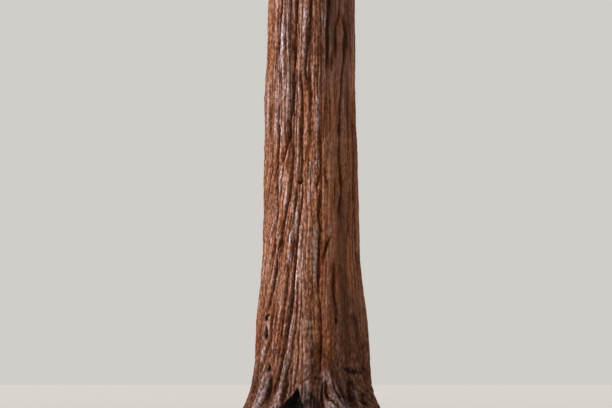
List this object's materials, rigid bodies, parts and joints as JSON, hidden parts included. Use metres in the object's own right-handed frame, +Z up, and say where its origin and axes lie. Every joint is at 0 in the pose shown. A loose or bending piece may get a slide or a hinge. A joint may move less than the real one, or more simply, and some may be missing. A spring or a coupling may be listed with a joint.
{
  "type": "giant sequoia tree",
  "caption": "Whole giant sequoia with a flared, fluted columnar trunk in furrowed red-brown bark, tapering boughs, and rounded masses of scale-leaved foliage up to a domed top.",
  "frame": {"origin": "centre of the flat cut under the trunk, at ground level", "axes": "+Z up the trunk, -Y towards the face of the trunk that the picture shows, +X to that view's right"},
  "size_m": [13.0902, 12.7048, 39.9902],
  "materials": {
    "bark": "fibrous, deeply furrowed",
    "bough_bark": "fibrous, ridged",
    "twig_bark": "scaly, dull",
    "foliage": "matt scale leaves",
    "cone": "woody, dull"
  },
  "bodies": {
    "root": {"trunk": "bark", "bough_01": "bough_bark", "bough_02": "bough_bark", "bough_03": "bough_bark", "bough_04": "bough_bark", "bough_05": "bough_bark", "bough_06": "bough_bark", "bough_07": "bough_bark", "bough_08": "bough_bark", "bough_09": "bough_bark", "bough_10": "bough_bark", "bough_11": "bough_bark", "bough_12": "bough_bark", "bough_13": "bough_bark", "bough_14": "bough_bark", "bough_15": "bough_bark", "bough_16": "bough_bark", "bough_17": "bough_bark", "bough_18": "bough_bark", "bough_19": "bough_bark", "bough_20": "bough_bark", "bough_21": "bough_bark", "bough_22": "bough_bark", "foliage_01": "foliage", "foliage_02": "foliage", "foliage_03": "foliage", "foliage_04": "foliage", "foliage_05": "foliage", "foliage_06": "foliage", "foliage_07": "foliage", "foliage_08": "foliage", "foliage_09": "foliage", "foliage_10": "foliage", "foliage_11": "foliage", "foliage_12": "foliage", "foliage_13": "foliage", "foliage_14": "foliage", "foliage_15": "foliage", "foliage_16": "foliage", "foliage_17": "foliage", "foliage_18": "foliage", "foliage_19": "foliage", "foliage_20": "foliage", "foliage_21": "foliage", "foliage_22": "foliage", "foliage_upper_1": "foliage", "foliage_upper_2": "foliage", "foliage_upper_3": "foliage", "foliage_upper_4": "foliage", "foliage_upper_5": "foliage", "foliage_upper_6": "foliage", "foliage_upper_7": "foliage", "foliage_top": "foliage"}
  },
  "joints": []
}
